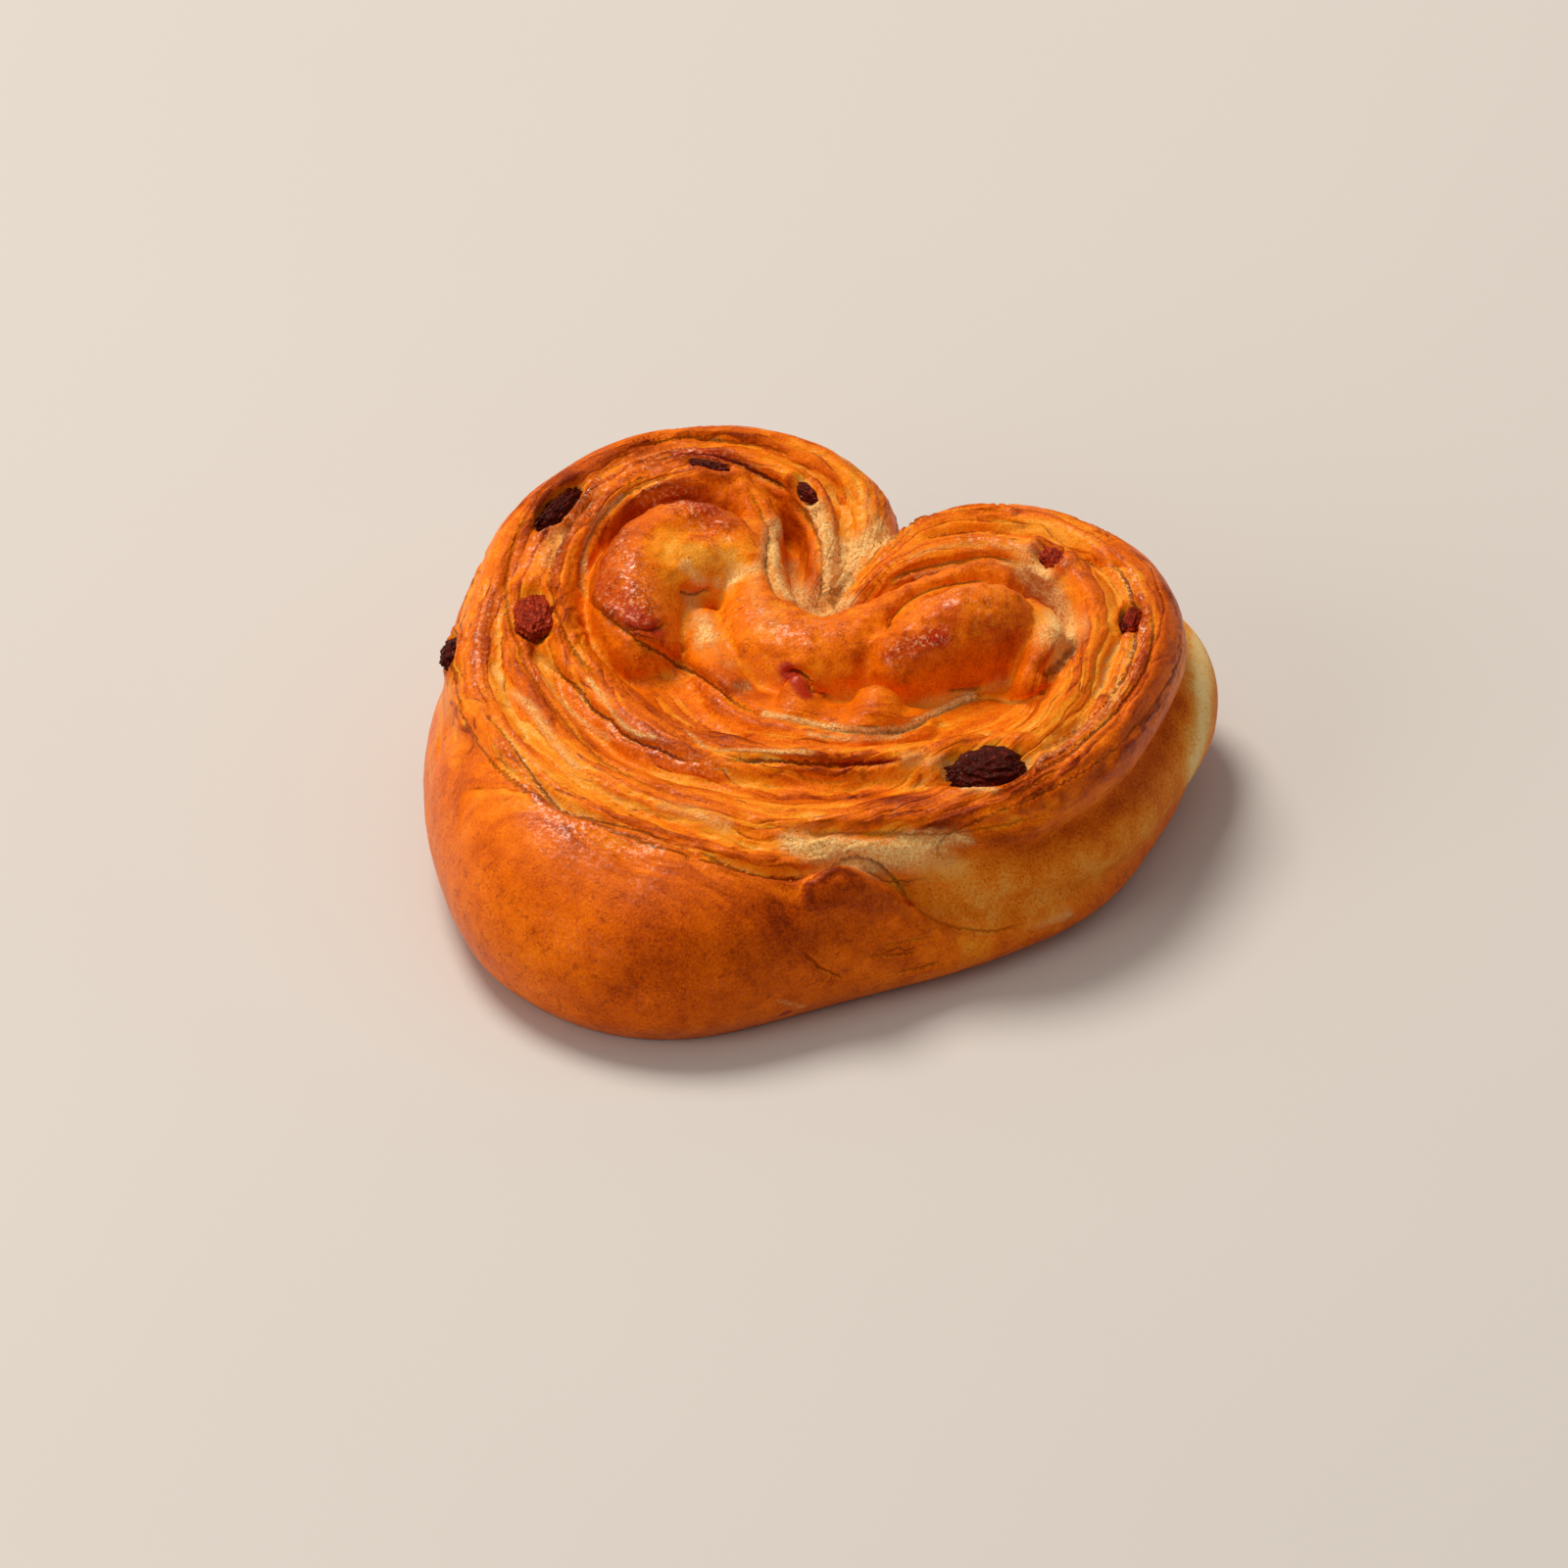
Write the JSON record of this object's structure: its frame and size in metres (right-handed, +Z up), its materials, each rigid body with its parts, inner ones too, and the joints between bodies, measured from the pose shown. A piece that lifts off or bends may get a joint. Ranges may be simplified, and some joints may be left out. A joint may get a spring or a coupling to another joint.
{
  "type": "raisin bun",
  "caption": "Heart-shaped sweet raisin bun: glazed coiled dough split into two curls, with raisins sunk into the crust.",
  "frame": {"origin": "under the middle of the bun, on the surface it lies on", "axes": "+Z up; +Y towards the notch of the heart, -Y towards its blunt tip; +X towards the right-hand curl as seen from the tip"},
  "size_m": [0.1083, 0.1171, 0.0381],
  "materials": {
    "crust": "baked dough with an egg glaze, satin",
    "raisin_skin": "wrinkled fruit skin, slightly glossy"
  },
  "bodies": {
    "root": {"bun": "crust", "raisin_left_ring": "raisin_skin", "raisin_left_front": "raisin_skin", "raisin_left_rim": "raisin_skin", "raisin_left_back": "raisin_skin", "raisin_notch": "raisin_skin", "raisin_right_back": "raisin_skin", "raisin_right_side": "raisin_skin", "raisin_front": "raisin_skin"}
  },
  "joints": []
}
